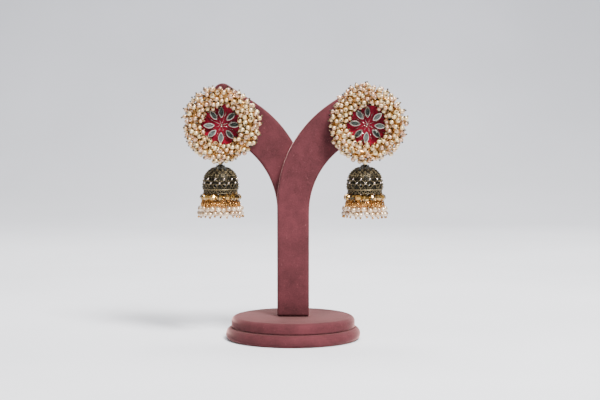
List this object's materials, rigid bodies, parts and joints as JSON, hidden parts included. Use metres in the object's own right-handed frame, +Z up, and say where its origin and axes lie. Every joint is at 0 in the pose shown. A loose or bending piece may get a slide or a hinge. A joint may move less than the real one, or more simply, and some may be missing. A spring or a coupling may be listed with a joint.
{
  "type": "pair of drop earrings on a display stand",
  "caption": "Pair of dome drop earrings with pearl wreaths round red enamel flowers, pinned on a velvet display stand with a round base and two curved arms.",
  "frame": {"origin": "centre of the round base's underside", "axes": "+Z up, -Y towards the earrings' faces (the front), +X towards the viewer's right"},
  "size_m": [0.1167, 0.071, 0.1347],
  "materials": {
    "velvet": "dusty rose velvet pile glued over board",
    "antique_gold": "oxidised antique gold plate, polished on the high spots",
    "bright_gold": "polished gold-plated wire",
    "red_enamel": "glossy crimson enamel",
    "foiled_stone": "foil-backed marquise stone in a silvered collar",
    "cream_pearl": "cream faux pearl, satin lustre",
    "white_pearl": "white faux pearl, satin lustre",
    "cut_glass": "gold-lustred cut glass"
  },
  "bodies": {
    "root": {"base_foot": "velvet", "base_plinth": "velvet", "front_board": "velvet", "back_board": "velvet", "left_back_plate": "antique_gold", "left_enamel_dish": "red_enamel", "left_pearl_wreath": "cream_pearl", "left_marquise_1": "foiled_stone", "left_marquise_2": "foiled_stone", "left_marquise_3": "foiled_stone", "left_marquise_4": "foiled_stone", "left_marquise_5": "foiled_stone", "left_marquise_6": "foiled_stone", "left_marquise_7": "foiled_stone", "left_marquise_8": "foiled_stone", "right_back_plate": "antique_gold", "right_enamel_dish": "red_enamel", "right_pearl_wreath": "cream_pearl", "right_marquise_1": "foiled_stone", "right_marquise_2": "foiled_stone", "right_marquise_3": "foiled_stone", "right_marquise_4": "foiled_stone", "right_marquise_5": "foiled_stone", "right_marquise_6": "foiled_stone", "right_marquise_7": "foiled_stone", "right_marquise_8": "foiled_stone"},
    "left_link": {"left_link": "antique_gold"},
    "left_drop": {"left_bell": "antique_gold", "left_cut_beads": "cut_glass", "left_wire_loops": "bright_gold", "left_pearl_fringe": "white_pearl"},
    "right_link": {"right_link": "antique_gold"},
    "right_drop": {"right_bell": "antique_gold", "right_cut_beads": "cut_glass", "right_wire_loops": "bright_gold", "right_pearl_fringe": "white_pearl"}
  },
  "joints": [
    {"name": "left_link_swing", "type": "hinge", "parent": "root", "child": "left_link", "pos_m": [-0.03823, 0.00015, 0.09458], "axis": [0, 1, 0], "range_deg": [-25, 25]},
    {"name": "left_drop_swing", "type": "hinge", "parent": "left_link", "child": "left_drop", "pos_m": [-0.03823, 0.00015, 0.09238], "axis": [1, 0, 0], "range_deg": [-12, 40]},
    {"name": "right_link_swing", "type": "hinge", "parent": "root", "child": "right_link", "pos_m": [0.03745, -0.00615, 0.09485], "axis": [0, 1, 0], "range_deg": [-25, 25]},
    {"name": "right_drop_swing", "type": "hinge", "parent": "right_link", "child": "right_drop", "pos_m": [0.03745, -0.00615, 0.09265], "axis": [1, 0, 0], "range_deg": [-12, 40]}
  ]
}
